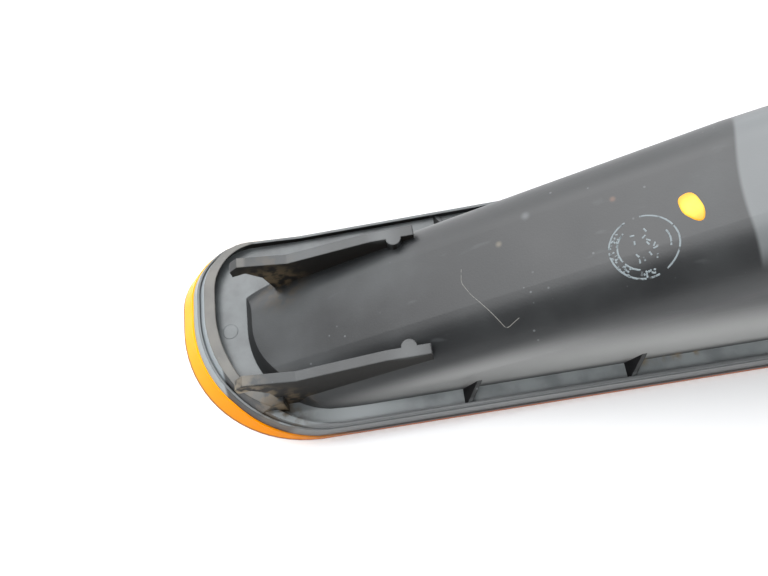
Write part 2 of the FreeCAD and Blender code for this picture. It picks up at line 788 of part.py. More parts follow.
def make_bulb():
    """Bayonet bulb, tip towards the lens: glass, stem, coil, wires, cap and contact."""
    glass = cut("bulb_glass", glass_body("glass_outside", ZERO), glass_body("glass_inside", s.glass_wall))
    bore = s.cap_radius - s.cap_wall
    shell = on_bulb_axis("cap_shell", s.cap_radius, CAP_FOOT, CAP_TOP)
    pin = doc.addObject("Part::Cylinder", "cap_pins")
    pin.Placement = FreeCAD.Placement(FreeCAD.Vector(), ACROSS)
    reach = s.cap_radius + s.pin_reach
    bind(pin, Radius=s.pin_radius, Height=reach * 2, Placement__Base__x=BULB_X,
         Placement__Base__y=-reach, Placement__Base__z=PIN_LEVEL)
    cap_bore = on_bulb_axis("cap_bore", bore, CAP_FOOT - s.cap_wall, CAP_TOP + s.cap_wall)
    cap = cut("bulb_cap", fuse("cap_block", shell, pin), cap_bore)
    disc_low = CAP_TOP - s.insulator_thick
    disc = on_bulb_axis("insulator_disc", bore, disc_low, CAP_TOP)
    disc_hole = on_bulb_axis("insulator_hole", s.contact_radius, disc_low, CAP_TOP)
    insulator = cut("bulb_insulator", disc, disc_hole)
    contact = on_bulb_axis("bulb_contact", s.contact_radius, disc_low, CONTACT_TOP)
    base_radius = s.glass_neck - s.glass_wall - s.fit_gap
    stem_base = on_bulb_axis("stem_base", base_radius, STUB_END - s.stem_radius, STUB_END)
    stem = fuse("bulb_stem", stem_base, on_bulb_axis("stem_rod", s.stem_radius, STEM_FOOT, STUB_END))
    half_coil = s.coil_length / 2
    coil = doc.addObject("Part::Cylinder", "filament")
    coil.Placement = FreeCAD.Placement(FreeCAD.Vector(), ALONG)
    bind(coil, Radius=s.coil_radius, Height=s.coil_length, Placement__Base__x=BULB_X - half_coil,
         Placement__Base__z=COIL_LEVEL)
    wire_low = COIL_LEVEL - s.coil_radius
    wires = []
    for side, sign in (("left", -1), ("right", 1)):
        x = BULB_X + (half_coil + s.wire_radius) * sign
        wires.append(cylinder(f"{side}_wire", s.wire_radius, x, ZERO, wire_low, STEM_FOOT - wire_low))
    supports = doc.addObject("Part::Compound", "filament_supports")
    supports.Links = wires
    return [glass, cap, insulator, contact, stem, coil, supports]


def make_terminals(gap, prefix):
    """Live strip over the bulb's contact and earth strip beside its cap, with room round them."""
    half = s.blade_width / 2 + gap
    tip = BULB_X + s.blade_reach
    live = box(f"{prefix}live_terminal", (BULB_X - s.contact_radius - gap, tip), (-half, half),
               (CONTACT_TOP - gap, CONTACT_TOP + s.blade_thick + gap))
    near = BULB_X + s.cap_radius + s.fit_gap - gap
    far = near + s.blade_thick + gap * 2
    foot = EARTH_LEVEL - s.earth_drop - gap
    low = EARTH_LEVEL - gap
    high = EARTH_LEVEL + s.blade_thick + gap
    corners = [(near, foot), (far, foot), (far, low), (tip, low), (tip, high), (near, high)]
    earth = cross(f"{prefix}earth_terminal", corners, -half, half)
    return live, earth


def make_holder():
    """Twist-in holder: plug, flange, barrel with a wing grip, and an inlet for the car's plug."""
    plug = on_bulb_axis("holder_plug", s.plug_radius, PLUG_FOOT, FLANGE_LOW)
    flange = on_bulb_axis("holder_disc", s.holder_flange, FLANGE_LOW, FLANGE_TOP)
    barrel = on_bulb_axis("holder_barrel", s.barrel_radius, FLANGE_LOW, BARREL_TOP)
    half_grip = s.grip_width / 2
    grip = box("holder_grip", (BULB_X - half_grip, BULB_X + half_grip), (-s.grip_reach, s.grip_reach),
               (FLANGE_TOP, BARREL_TOP))
    mouth = BULB_X + s.inlet_reach
    half_inlet = s.inlet_width / 2
    shroud = box("inlet_shroud", (BULB_X, mouth), (-half_inlet, half_inlet), (FLANGE_LOW, BARREL_TOP))
    socket = box("inlet_socket", (mouth - s.inlet_depth, mouth + s.inlet_wall),
                 (s.inlet_wall - half_inlet, half_inlet - s.inlet_wall),
                 (FLANGE_LOW + s.inlet_wall, BARREL_TOP - s.inlet_wall))
    below = PLUG_FOOT - s.wall
    seat = on_bulb_axis("cap_seat", s.cap_radius + s.fit_gap, below, CONTACT_TOP)
    half_groove = s.groove_width / 2
    groove_reach = s.cap_radius + s.pin_reach + s.fit_gap
    grooves = box("pin_grooves", (BULB_X - half_groove, BULB_X + half_groove),
                  (-groove_reach, groove_reach), (below, PIN_LEVEL + half_groove))
    slots = make_terminals(s.fit_gap / 2, "slot_for_")
    body = fuse("holder_block", plug, flange, barrel, grip, shroud)
    return cut("bulb_holder", body, socket, seat, grooves, *slots)


def make_holder_seal():
    """Rubber ring between the neck and the holder's flange."""
    disc = on_bulb_axis("seal_disc", s.neck_radius, NECK_TOP, FLANGE_LOW)
    return cut("holder_seal", disc, on_bulb_axis("seal_hole", s.seal_inner, NECK_TOP, FLANGE_LOW))


def check(pieces):
    """Stops when any object failed or any piece is empty or not valid."""
    for thing in doc.Objects:
        faults = {"Invalid", "Error"} & set(thing.State)
        if faults:
            raise RuntimeError(f"{thing.Label}: {sorted(faults)}")
    for piece in pieces:
        if piece.Shape.isNull() or not piece.Shape.isValid():
            raise RuntimeError(f"{piece.Label}: no valid shape")


def main():
    """Builds every piece and writes each one to a file of its own name."""
    pieces = [make_housing(), make_lens(), make_lens_seal(), make_reflector(), make_holder(),
              make_holder_seal(), *make_bulb(), *make_terminals(ZERO, "")]
    doc.recompute()
    check(pieces)
    os.makedirs("parts", exist_ok=True)
    for piece in pieces:
        piece.Label = piece.Name
        piece.Shape.exportStep(f"parts/{piece.Name}.step")
        print(piece.Name, len(piece.Shape.Solids), round(piece.Shape.Volume, 1), piece.Shape.BoundBox)


main()
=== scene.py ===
"""Front indicator lamp lying on its lens: finishes, marks of use, studio and camera.

Lengths are written in millimetres and turned into metres by MM. X runs along the lamp, Y
across it and Z away from the lens.
"""

import math

import bpy
import numpy as np
from mathutils import Matrix


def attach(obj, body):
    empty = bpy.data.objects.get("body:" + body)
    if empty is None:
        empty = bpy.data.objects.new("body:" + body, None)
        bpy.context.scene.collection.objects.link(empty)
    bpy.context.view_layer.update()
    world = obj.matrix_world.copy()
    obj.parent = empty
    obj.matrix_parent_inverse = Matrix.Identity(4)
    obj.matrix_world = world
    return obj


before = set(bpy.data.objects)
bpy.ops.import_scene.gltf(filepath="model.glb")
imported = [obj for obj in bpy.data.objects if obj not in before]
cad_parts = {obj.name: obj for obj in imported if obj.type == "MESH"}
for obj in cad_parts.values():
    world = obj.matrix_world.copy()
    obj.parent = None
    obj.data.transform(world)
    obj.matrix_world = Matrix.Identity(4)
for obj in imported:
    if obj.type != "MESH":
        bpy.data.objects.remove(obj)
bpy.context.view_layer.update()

MM = 0.001

# Camera: the point it looks at on the floor, its distance, its three angles and its lens.
CAMERA_AIM = (-70.33, 10.34, 0.0)
CAMERA_DISTANCE = 172.6
CAMERA_TILT = 26.37
CAMERA_ROLL = 17.65
CAMERA_TURN = 8.81
CAMERA_LENS = 37.5
SENSOR_WIDTH = 36.0

# Studio: a pale floor under a soft sky that is brightest overhead and behind the lamp.
FLOOR_HALF = 20000.0
FLOOR_DROP = 0.02
FLOOR_COLOUR = (0.93, 0.935, 0.94)
SKY_COLOUR = (0.975, 0.985, 1.0)
SKY_DIM = 0.2
# bright parts of the sky: a direction, the cosines at their edge and core, and their strength;
# the last one is a low band all round the horizon
SKY_LOBES = (
    ((-0.1, 0.45, 0.89), 0.74, 0.99, 3.1),
    ((-0.25, 0.94, 0.24), 0.55, 0.98, 2.0),
    ((0.0, 0.0, 1.0), 0.2, 0.08, 0.8),
)
KEY_PLACE = (-350.0, 500.0, 900.0)
KEY_SIZE = 700.0
KEY_POWER = 3.0
FILL_PLACE = (-60.0, -700.0, 650.0)
FILL_SIZE = 800.0
FILL_POWER = 6.0

# Zones of the housing that get painted reflections, painted shade, dust or a paler tone: limits along,
# across and above the lens, and how soft their edges are.
SOFT_EDGE = 0.4
CREASE = -7.1
CREASE_SKEW = 0.18
CREASE_BOW = 0.009
CREASE_MIDDLE = 3.0
CHANNEL_TOP = 6.2
CHANNEL_SIDE = -15.5
CHANNEL_EDGE = 0.1
# a brighter painted reflection on the channel floor: its place and reach
BRIGHT_REFLECTION_PLACE = (-78.0, -18.0, 3.9)
BRIGHT_REFLECTION_REACH = 15.0
RIDGE_FOOT = 6.3
RIDGE_END = -96.0
WALL_SIDE = -15.2
WALL_SIDE_EDGE = 0.9
WALL_FOOT = 5.0
WALL_FOOT_EDGE = 1.5
# painted reflection of the floor on the near wall: the heights over which it fades, where it starts along
# the lamp and its least share there
WALL_REFLECTION_LOW = 11.0
WALL_REFLECTION_HIGH = 27.0
WALL_REFLECTION_START = -90.0
WALL_REFLECTION_LEAST = 0.4
RAIL_END = -58.0
RAIL_EDGE = 0.3
SKIRT_END = -104.5
SKIRT_SIDE = -17.5
LIP_SIDE = -18.8
FIN_START = -85.0
FIN_TOP = 9.5
NOSE_FACE = -103.0
NOSE_SIDE = -16.0
NOSE_EDGE = 1.0
PIN_MARK = (-103.2, 4.0, 4.8)
PIN_MARK_RADIUS = 1.7
PIN_MARK_EDGE = 0.2
# height of the pin mark, counted in depths of the grain
PIN_MARK_RISE = 6.0

# Limits of how far a face points along an axis, between which a share grows or fades.
LEVEL = (0.965, 0.99)
CROWN_LEVEL = (0.5, 0.85)
LEANING = (-0.62, -0.45)
FRONT = (-1.0, -0.62)
UPRIGHT = (-0.99, -0.91)
UNDERNEATH = (-0.8, -0.5)

# Tones of the mouldings and of these zones: the channel, side channel, bright patch, wall and skirt tones
# are painted reflections, the lip tone a painted sheen, the rail, fin and nose tones painted shade, the
# ridge tone dust, and the crown tone is paler.
HOLDER_BLACK = (0.03, 0.03, 0.032)
HOLDER_WORN = (0.045, 0.045, 0.047)
HOUSING_BLACK = (0.015, 0.016, 0.017)
HOUSING_WORN = (0.023, 0.0245, 0.0255)
CROWN_SHARE = 0.8
CROWN_TONE = (0.165, 0.177, 0.182)
CHANNEL_REFLECTION_TONE = (0.125, 0.138, 0.142)
SIDE_CHANNEL_REFLECTION_TONE = (0.28, 0.305, 0.313)
BRIGHT_REFLECTION_TONE = (0.38, 0.41, 0.42)
RIDGE_TONE = (0.12, 0.115, 0.102)
WALL_REFLECTION_TONE = (0.33, 0.333, 0.327)
RAIL_SHADE_TONE = (0.009, 0.008, 0.007)
LIP_SHEEN_TONE = (0.13, 0.137, 0.14)
SKIRT_REFLECTION_TONE = (0.25, 0.28, 0.295)
FIN_SHADE_TONE = (0.008, 0.008, 0.009)
NOSE_SHADE_TONE = (0.014, 0.0145, 0.015)

# Patterns of the mouldings, as lumps in a metre, and the depth of their grain.
CLOUDS = 55
DUST_CLOUDS = 28
STREAKS = 520
STREAK_STRETCH = (0.02, 1.0, 1.0)
SPECK_CELLS = 420
SPECK_CLOUDS = 70
PATCHES = 170
CRUMBS = 450
GRAIN = 2600
GRAIN_DEPTH = 0.015

# Lens: where its tones change and how softly, its haze and waves as lumps in a metre, and the tones: yellow
# and orange paint the light through the amber, and the red line, shaded rim and brown foot are painted
# shade.
LENS_ORANGE_SIDE = -19.0
LENS_YELLOW_SIDE = 8.0
LENS_ROUND_END = -98.0
LENS_SIDE_START = -76.0
LENS_END = 100.0
LENS_END_EDGE = 12.0
LENS_LINE_TOP = 0.7
LENS_LINE_EDGE = 0.2
LENS_FOOT_TOP = 0.45
LENS_FOOT_EDGE = 0.25
LENS_HAZE = 220
LENS_WAVES = 900
ORANGE = (0.9, 0.28, 0.0)
YELLOW = (0.95, 0.46, 0.003)
SHADE_LINE_RED = (0.48, 0.06, 0.018)
SHADED_RIM = (0.12, 0.105, 0.1)
FOOT_SHADE_BROWN = (0.34, 0.12, 0.04)
FACE_AMBER = (0.9, 0.3, 0.002)

# Marks on the sloping back, placed along and across the lamp.
DOT_CENTRE = (-15.3, -1.65)
DOT_LONG = 2.72
DOT_SHORT = 1.8
DOT_TURN = -70.0
DOT_THICK = 0.12
DOT_RINGS = 14
DOT_SPOKES = 49
DOT_RIM_TONE = (0.85, 0.36, 0.004)
DOT_MIDDLE_TONE = (0.93, 0.72, 0.06)
STAMP_CENTRE = (-23.8, -5.8)
STAMP_RADIUS = 5.45
STAMP_STROKE = 0.36
STAMP_INNER = 0.76
STAMP_OUTER_ARCS = ((-62, 20), (23, 84), (110, 168), (174, 262), (267, 284))
STAMP_INNER_ARCS = ((-20, 22), (128, 205), (212, 250))
STAMP_SMUDGES = 46
STAMP_SMUDGE_SPAN = (130, 282)
STAMP_TICKS = 13
STAMP_TICK_RADII = (0.1, 0.55)
STAMP_TICK_LENGTH = 0.75
STAMP_SEED = 7
INK_TONE = (0.2, 0.235, 0.25)
THIN_INK_TONE = (0.05, 0.054, 0.056)
SCRATCH_POINTS = ((-54.0, 1.0), (-54.5, -1.8), (-53.2, -4.7), (-48.1, -12.4), (-45.5, -11.2))
SCRATCH_WIDTH = 0.15
SCRATCH_TONE = (0.17, 0.168, 0.155)
FAINT_SCRATCH_TONE = (0.06, 0.06, 0.06)
SMOOTHING = 5
# a stroke's half width and the half width of its flat top, as shares of its width
STROKE_FOOT = 0.5
STROKE_TOP = 0.36
FILM = 0.02
SUNK = 0.05
# slack for a point on a triangle's edge, and twice the least plan area, in square metres, of a
# triangle that faces upwards
EDGE_SLACK = 1e-6
LEAST_PLAN_AREA = 1e-12

# Dirt in the corners, and single specks together with two painted highlights on the clip rails: a place, a
# reach and a colour each.
BROWN_DIRT = (0.1, 0.075, 0.045)
DRY_DIRT = (0.2, 0.165, 0.115)
GREY_DUST = (0.2, 0.19, 0.17)
COOL_DUST = (0.15, 0.162, 0.168)
DIRT_PLACES = (
    ((-99.0, -13.0, 14.0), 8.0, DRY_DIRT),
    ((-97.0, -14.0, 12.0), 6.0, DRY_DIRT),
    ((-93.0, -15.5, 8.0), 9.0, BROWN_DIRT),
    ((-92.0, 12.0, 11.0), 9.0, BROWN_DIRT),
    ((-22.5, -16.4, 4.2), 1.5, DRY_DIRT),
    ((-19.5, -16.4, 4.2), 1.8, DRY_DIRT),
    ((-16.0, -16.4, 4.2), 1.5, DRY_DIRT),
    ((-12.5, -16.4, 4.2), 1.2, DRY_DIRT),
)
SPECKS_AND_HIGHLIGHTS = (
    ((-26.4, 4.5, 31.3), 0.8, (0.11, 0.06, 0.04)),
    ((-46.6, 3.3, 24.3), 0.9, (0.12, 0.105, 0.08)),
    ((-41.0, 7.1, 26.2), 1.2, (0.08, 0.086, 0.09)),
    # painted highlights on the near and far clip rails
    ((-66.0, -12.5, 24.0), 7.0, (0.22, 0.236, 0.24)),
    ((-68.0, 12.0, 23.0), 6.0, (0.22, 0.236, 0.24)),
)


class Finish:
    """One material's node tree, with short ways to add nodes and to join them."""

    def __init__(self, name, **values):
        self.material = bpy.data.materials.new(name)
        self.material.use_nodes = True
        self.tree = self.material.node_tree
        self.shader = self.tree.nodes["Principled BSDF"]
        self.place = self.add("ShaderNodeTexCoord").outputs["Object"]
        self.set(**values)

    def set(self, **values):
        """Gives the shader's sockets plain values or links."""
        for name, value in values.items():
            self.give(self.shader.inputs[name.replace("_", " ")], value)

    def give(self, socket, value):
        """A socket gets a link from another socket, or a value of its own."""
        if isinstance(value, bpy.types.NodeSocket):
            self.tree.links.new(value, socket)
        else:
            socket.default_value = value

    def add(self, kind, sockets=(), **settings):
        """A new node with its settings and with its first sockets filled in order."""
        node = self.tree.nodes.new(kind)
        for name, value in settings.items():
            setattr(node, name, value)
        for index, value in enumerate(sockets):
            if value is not None:
                self.give(node.inputs[index], value)
        return node

    def noise(self, scale, detail=3.0, stretch=(1, 1, 1)):
        """Cloudy noise; the scale counts its lumps in a metre."""
        place = self.add("ShaderNodeMapping", (self.place, None, None, stretch)).outputs[0]
        node = self.add("ShaderNodeTexNoise", (place,))
        node.inputs["Scale"].default_value = scale
        node.inputs["Detail"].default_value = detail
        return node.outputs["Fac"]

    def cells(self, scale):
        """Distance to the nearest of many scattered points."""
        node = self.add("ShaderNodeTexVoronoi", (self.place,))
        node.inputs["Scale"].default_value = scale
        return node.outputs["Distance"]

    def between(self, value, low, high, start=0.0, end=1.0):
        """A soft step from start to end while a value goes from low to high."""
        node = self.add("ShaderNodeMapRange", (value, low, high, start, end))
        node.interpolation_type = "SMOOTHSTEP"
        return node.outputs[0]

    def math(self, operation, first, second=None):
        """One operation on two numbers, such as ADD or MULTIPLY."""
        return self.add("ShaderNodeMath", (first, second), operation=operation).outputs[0]

    def mix(self, share, first, second):
        """Two colours mixed by a share; the node's inputs 6 and 7 and its output 2 hold colours."""
        node = self.add("ShaderNodeMix", data_type="RGBA")
        self.give(node.inputs["Factor"], share)
        for socket, colour in zip((node.inputs[6], node.inputs[7]), (first, second)):
            self.give(socket, colour if isinstance(colour, bpy.types.NodeSocket) else (*colour, 1.0))
        return node.outputs[2]

    def axis(self, name):
        """One coordinate of the place on the surface."""
        return self.add("ShaderNodeSeparateXYZ", (self.place,)).outputs["XYZ".index(name)]

    def facing(self, name):
        """How far the surface faces along one axis."""
        normal = self.add("ShaderNodeNewGeometry").outputs["Normal"]
        return self.add("ShaderNodeSeparateXYZ", (normal,)).outputs["XYZ".index(name)]

    def all_of(self, *shares):
        """The product of several shares."""
        product = shares[0]
        for share in shares[1:]:
            product = self.math("MULTIPLY", product, share)
        return product

    def past(self, name, limit, blur=SOFT_EDGE):
        """One past a limit in millimetres along an axis, with a soft edge."""
        return self.between(self.axis(name), (limit - blur) * MM, (limit + blur) * MM)

    def before(self, name, limit, blur=SOFT_EDGE):
        """One before a limit in millimetres along an axis, with a soft edge."""
        return self.between(self.axis(name), (limit - blur) * MM, (limit + blur) * MM, 1.0, 0.0)

    def distance(self, point):
        """Distance in metres from a place given in millimetres."""
        centre = tuple(value * MM for value in point)
        return self.add("ShaderNodeVectorMath", (self.place, centre), operation="DISTANCE").outputs["Value"]

    def near(self, point, reach):
        """One at a place given in millimetres, falling to nothing at its reach."""
        return self.between(self.distance(point), 0.0, reach * MM, 1.0, 0.0)

    def relief(self, height, depth, soften=0.0):
        """Bump of a depth in millimetres, on edges softened by a small radius."""
        bump = self.add("ShaderNodeBump")
        bump.inputs["Distance"].default_value = depth * MM
        self.give(bump.inputs["Height"], height)
        if soften:
            edge = self.add("ShaderNodeBevel", samples=6)
            edge.inputs["Radius"].default_value = soften * MM
            self.give(bump.inputs["Normal"], edge.outputs[0])
        self.give(self.shader.inputs["Normal"], bump.outputs[0])


def worn_base(finish, dark, light, dust):
    """Cloudy tone of a used moulding: a thin film of dust on what faces up, streaks and specks."""
    clouds = finish.noise(CLOUDS, 5.0)
    base = finish.mix(finish.between(clouds, 0.35, 0.65), dark, light)
    film = finish.all_of(finish.between(finish.noise(DUST_CLOUDS, 6.0), 0.45, 0.75),
                         finish.between(finish.facing("Z"), 0.5, 0.95, 0.0, 0.3))
    base = finish.mix(film, base, dust)
    streaks = finish.between(finish.noise(STREAKS, 2.0, STREAK_STRETCH), 0.66, 0.8, 0.0, 0.12)
    base = finish.mix(streaks, base, dust)
    specks = finish.all_of(finish.between(finish.cells(SPECK_CELLS), 0.06, 0.12, 0.6, 0.0),
                           finish.between(finish.noise(SPECK_CLOUDS), 0.5, 0.58))
    return finish.mix(specks, base, dust)


def satin(finish, base, height, depth, soften, matt=0.0):
    """Satin surface with an uneven polish and a grain, rougher where a matt share is given."""
    polish = finish.between(finish.noise(CLOUDS, 5.0), 0.3, 0.7, 0.36, 0.46)
    rough = finish.math("MAXIMUM", polish, finish.math("MULTIPLY", matt, 0.95))
    finish.set(Base_Color=base, Roughness=rough, IOR=1.5, Coat_Weight=0.1, Coat_Roughness=0.35)
    finish.relief(height, depth, soften)
    return finish.material


def holder_plastic():
    """Plain dark moulding of the bulb holder."""
    finish = Finish("holder_plastic")
    base = worn_base(finish, HOLDER_BLACK, HOLDER_WORN, GREY_DUST)
    return satin(finish, base, finish.noise(GRAIN, 2.0), GRAIN_DEPTH, 0.3)


def crown_share(finish):
    """A share past the crease of the back, on what faces up; its edge is slanted and slightly bowed."""
    aside = finish.math("SUBTRACT", finish.axis("Y"), CREASE_MIDDLE * MM)
    skew = finish.math("ADD", finish.math("MULTIPLY", aside, CREASE_BOW / MM), CREASE_SKEW)
    beyond = finish.math("SUBTRACT", finish.axis("X"), finish.math("MULTIPLY", aside, skew))
    past_crease = finish.between(beyond, (CREASE - SOFT_EDGE) * MM, (CREASE + SOFT_EDGE) * MM)
    return finish.all_of(past_crease, finish.between(finish.facing("Z"), *CROWN_LEVEL, 0.0, CROWN_SHARE))


def channel_zones(finish):
    """Shares and tones of the painted reflection on the channel floor, of its brighter painted reflections
    and of the dust on the ridge along its outer side.
    """
    patchy = finish.between(finish.noise(PATCHES, 6.0), 0.3, 0.65, 0.55, 1.0)
    up = finish.between(finish.facing("Z"), *LEVEL)
    floor = finish.all_of(up, finish.before("Z", CHANNEL_TOP, CHANNEL_EDGE))
    # painted reflection on the channel floor, patchy, and paler still on its near side
    channel = finish.all_of(floor, patchy)
    side_channel = finish.all_of(channel, finish.before("Y", CHANNEL_SIDE))
    # a brighter painted reflection round one place on the channel floor
    bright_reflection = finish.all_of(floor, finish.near(BRIGHT_REFLECTION_PLACE, BRIGHT_REFLECTION_REACH))
    raised = finish.past("Z", RIDGE_FOOT, CHANNEL_EDGE)
    ridge = finish.all_of(up, raised, finish.before("X", RIDGE_END), patchy)
    return (
        (channel, CHANNEL_REFLECTION_TONE),
        (side_channel, SIDE_CHANNEL_REFLECTION_TONE),
        (bright_reflection, BRIGHT_REFLECTION_TONE),
        (ridge, RIDGE_TONE),
    )


def wall_reflection_share(finish):
    """Painted reflection of the floor on the near wall: most of it low down, and more towards the crown."""
    front = finish.between(finish.facing("Y"), *FRONT, 1.0, 0.0)
    near_side = finish.before("Y", WALL_SIDE, WALL_SIDE_EDGE)
    above = finish.past("Z", WALL_FOOT, WALL_FOOT_EDGE)
    low = finish.between(finish.axis("Z"), WALL_REFLECTION_LOW * MM, WALL_REFLECTION_HIGH * MM, 1.0, 0.0)
    along = finish.between(finish.axis("X"), WALL_REFLECTION_START * MM, 0.0, WALL_REFLECTION_LEAST, 1.0)
    return finish.all_of(front, near_side, above, low, along)


def rail_shade_share(finish):
    """One on the near sides of the clip rails, which stand upright, where they are darkened with painted
    shade.
    """
    upright = finish.between(finish.facing("Y"), *UPRIGHT, 1.0, 0.0)
    return finish.all_of(upright, finish.past("Y", WALL_SIDE, RAIL_EDGE), finish.before("X", RAIL_END))


def skirt_reflection_share(finish, leaning):
    """One outside the channel, on those faces of the leaned skirt that look along the lamp, which a painted
    reflection lightens.
    """
    outside = finish.math("MAXIMUM", finish.before("X", SKIRT_END), finish.before("Y", SKIRT_SIDE))
    return finish.all_of(leaning, outside)


def add_dirt_and_highlights(finish, base):
    """Crumbs of dirt in the corners, single soft specks and two painted highlights on the clip rails, laid
    over a tone.
    """
    crumbs = finish.between(finish.noise(CRUMBS, 6.0), 0.42, 0.6)
    for point, reach, colour in DIRT_PLACES:
        base = finish.mix(finish.all_of(finish.near(point, reach), crumbs), base, colour)
    for point, reach, colour in SPECKS_AND_HIGHLIGHTS:
        base = finish.mix(finish.near(point, reach), base, colour)
    return base


def housing_plastic():
    """Black moulding of the housing, with painted reflections in its channel and on its near wall and
    skirt, a painted sheen on its lip, painted shade on its rails, fins and nose, painted highlights on its
    rails, dust on its ridge, a paler crown and dirt in its corners.
    """
    finish = Finish("black_housing")
    base = worn_base(finish, HOUSING_BLACK, HOUSING_WORN, COOL_DUST)
    leaning = finish.between(finish.facing("X"), *LEANING, 1.0, 0.0)
    # painted shade on the near sides of the clip rails
    rails = rail_shade_share(finish)
    # painted shade on the leaning faces of the fins and on the end wall of the nose
    fins = finish.all_of(leaning, finish.past("X", FIN_START), finish.before("Z", FIN_TOP))
    nose = finish.all_of(leaning, finish.past("X", NOSE_FACE, NOSE_EDGE), finish.past("Y", NOSE_SIDE))
    # zones in order: a paler crown, the channel's painted reflections and the ridge's dust, the wall's
    # painted reflection, painted shade on the rails, a painted sheen on the lip, a painted reflection on
    # the skirt, painted shade on the fins and nose
    zones = (
        (crown_share(finish), CROWN_TONE),
        *channel_zones(finish),
        (wall_reflection_share(finish), WALL_REFLECTION_TONE),
        (rails, RAIL_SHADE_TONE),
        # painted sheen along the near lip
        (finish.before("Y", LIP_SIDE), LIP_SHEEN_TONE),
        # painted reflection on the leaned faces of the skirt
        (skirt_reflection_share(finish, leaning), SKIRT_REFLECTION_TONE),
        (fins, FIN_SHADE_TONE),
        (nose, NOSE_SHADE_TONE),
    )
    for share, tone in zones:
        base = finish.mix(share, base, tone)
    inner = (PIN_MARK_RADIUS - PIN_MARK_EDGE) * MM
    mark = finish.between(finish.distance(PIN_MARK), inner, PIN_MARK_RADIUS * MM, PIN_MARK_RISE, 0.0)
    height = finish.math("ADD", finish.noise(GRAIN, 2.0), mark)
    # the rails and the fin faces, darkened with painted shade, are made rougher as well
    matt = finish.math("MAXIMUM", rails, fins)
    return satin(finish, add_dirt_and_highlights(finish, base), height, GRAIN_DEPTH, 0.35, matt)


def amber_lens():
    """Amber moulding with painted light and shade: yellow and orange round its end stand for light through
    the amber, and a red line under grey along its side and a brown foot are painted shade.
    """
    finish = Finish("amber_lens", Transmission_Weight=0.1, IOR=1.25, Specular_IOR_Level=0.15)
    across = finish.between(finish.axis("Y"), LENS_ORANGE_SIDE * MM, LENS_YELLOW_SIDE * MM)
    along = finish.between(finish.axis("X"), LENS_ROUND_END * MM, LENS_SIDE_START * MM)
    # yellow to orange across the end: painted light through the amber
    end = finish.mix(across, ORANGE, YELLOW)
    # painted shade: a red line under a shaded grey along the side
    side = finish.mix(finish.past("Z", LENS_LINE_TOP, LENS_LINE_EDGE), SHADE_LINE_RED, SHADED_RIM)
    beside = finish.all_of(along, finish.before("X", LENS_END, LENS_END_EDGE))
    colour = finish.mix(beside, end, side)
    # painted shade: darker brown at the foot, where the lens meets the floor
    colour = finish.mix(finish.before("Z", LENS_FOOT_TOP, LENS_FOOT_EDGE), colour, FOOT_SHADE_BROWN)
    under = finish.between(finish.facing("Z"), *UNDERNEATH, 1.0, 0.0)
    haze = finish.noise(LENS_HAZE, 4.0)
    finish.set(Base_Color=finish.mix(under, colour, FACE_AMBER),
               Roughness=finish.between(haze, 0.3, 0.7, 0.12, 0.24))
    finish.relief(finish.noise(LENS_WAVES, 2.0), 0.01, soften=0.25)
    return finish.material


def metal(name, dark, light, rough, depth):
    """Bare metal with a cloudy tone, uneven polish and fine drawn lines."""
    finish = Finish(name, Metallic=1.0)
    clouds = finish.noise(300, 5.0)
    finish.set(Base_Color=finish.mix(clouds, dark, light),
               Roughness=finish.between(clouds, 0.3, 0.7, rough, rough + 0.15))
    finish.relief(finish.noise(1500, 3.0, (1.0, 1.0, 0.1)), depth, soften=0.15)
    return finish.material


def glassy(name, colour, clear):
    """Glass with faint waves in its thickness."""
    finish = Finish(name, Transmission_Weight=clear, IOR=1.5, Base_Color=(*colour, 1.0))
    finish.set(Roughness=finish.between(finish.noise(150, 4.0), 0.3, 0.7, 0.01, 0.06))
    finish.relief(finish.noise(120, 2.0), 0.02)
    return finish.material


def rubbery(name, dark, light):
    """Soft matt rubber with a bloom of dust."""
    finish = Finish(name)
    bloom = finish.noise(400, 6.0)
    finish.set(Base_Color=finish.mix(finish.between(bloom, 0.45, 0.7), dark, light),
               Roughness=finish.between(bloom, 0.3, 0.7, 0.65, 0.85))
    finish.relief(finish.noise(1800, 3.0), 0.03, soften=0.2)
    return finish.material


def paint(name, colour, worn, patchy):
    """A mark put on by hand: even colour, with the plastic showing where it is patchy."""
    finish = Finish(name, Roughness=0.5)
    wear = finish.between(finish.noise(1400, 5.0), 0.62 - patchy, 0.72 - patchy / 2)
    finish.set(Base_Color=finish.mix(wear, colour, worn))
    finish.relief(finish.noise(700, 4.0), 0.03)
    return finish.material


def dot_paint(middle):
    """Yellow paint, thick and pale in its middle and darker where it thins out at its edge."""
    finish = Finish("yellow_paint", Roughness=0.45)
    thick = finish.between(finish.distance(middle), DOT_SHORT * MM / 3, DOT_LONG * MM, 1.0, 0.0)
    clouds = finish.between(finish.noise(900, 4.0), 0.35, 0.65, 0.75, 1.0)
    finish.set(Base_Color=finish.mix(finish.all_of(thick, clouds), DOT_RIM_TONE, DOT_MIDDLE_TONE))
    finish.relief(finish.noise(700, 4.0), 0.03)
    return finish.material


def upward_triangles(node):
    """Corners of those triangles of a node that face upwards, as an array of (count, 3, 3)."""
    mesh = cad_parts[node].data
    mesh.calc_loop_triangles()
    places = np.empty(len(mesh.vertices) * 3)
    mesh.vertices.foreach_get("co", places)
    corners = np.empty(len(mesh.loop_triangles) * 3, int)
    mesh.loop_triangles.foreach_get("vertices", corners)
    triangles = places.reshape(-1, 3)[corners.reshape(-1, 3)]
    normals = np.cross(triangles[:, 1] - triangles[:, 0], triangles[:, 2] - triangles[:, 0])
    return triangles[normals[:, 2] > LEAST_PLAN_AREA]


HOUSING_TOP = upward_triangles("housing")


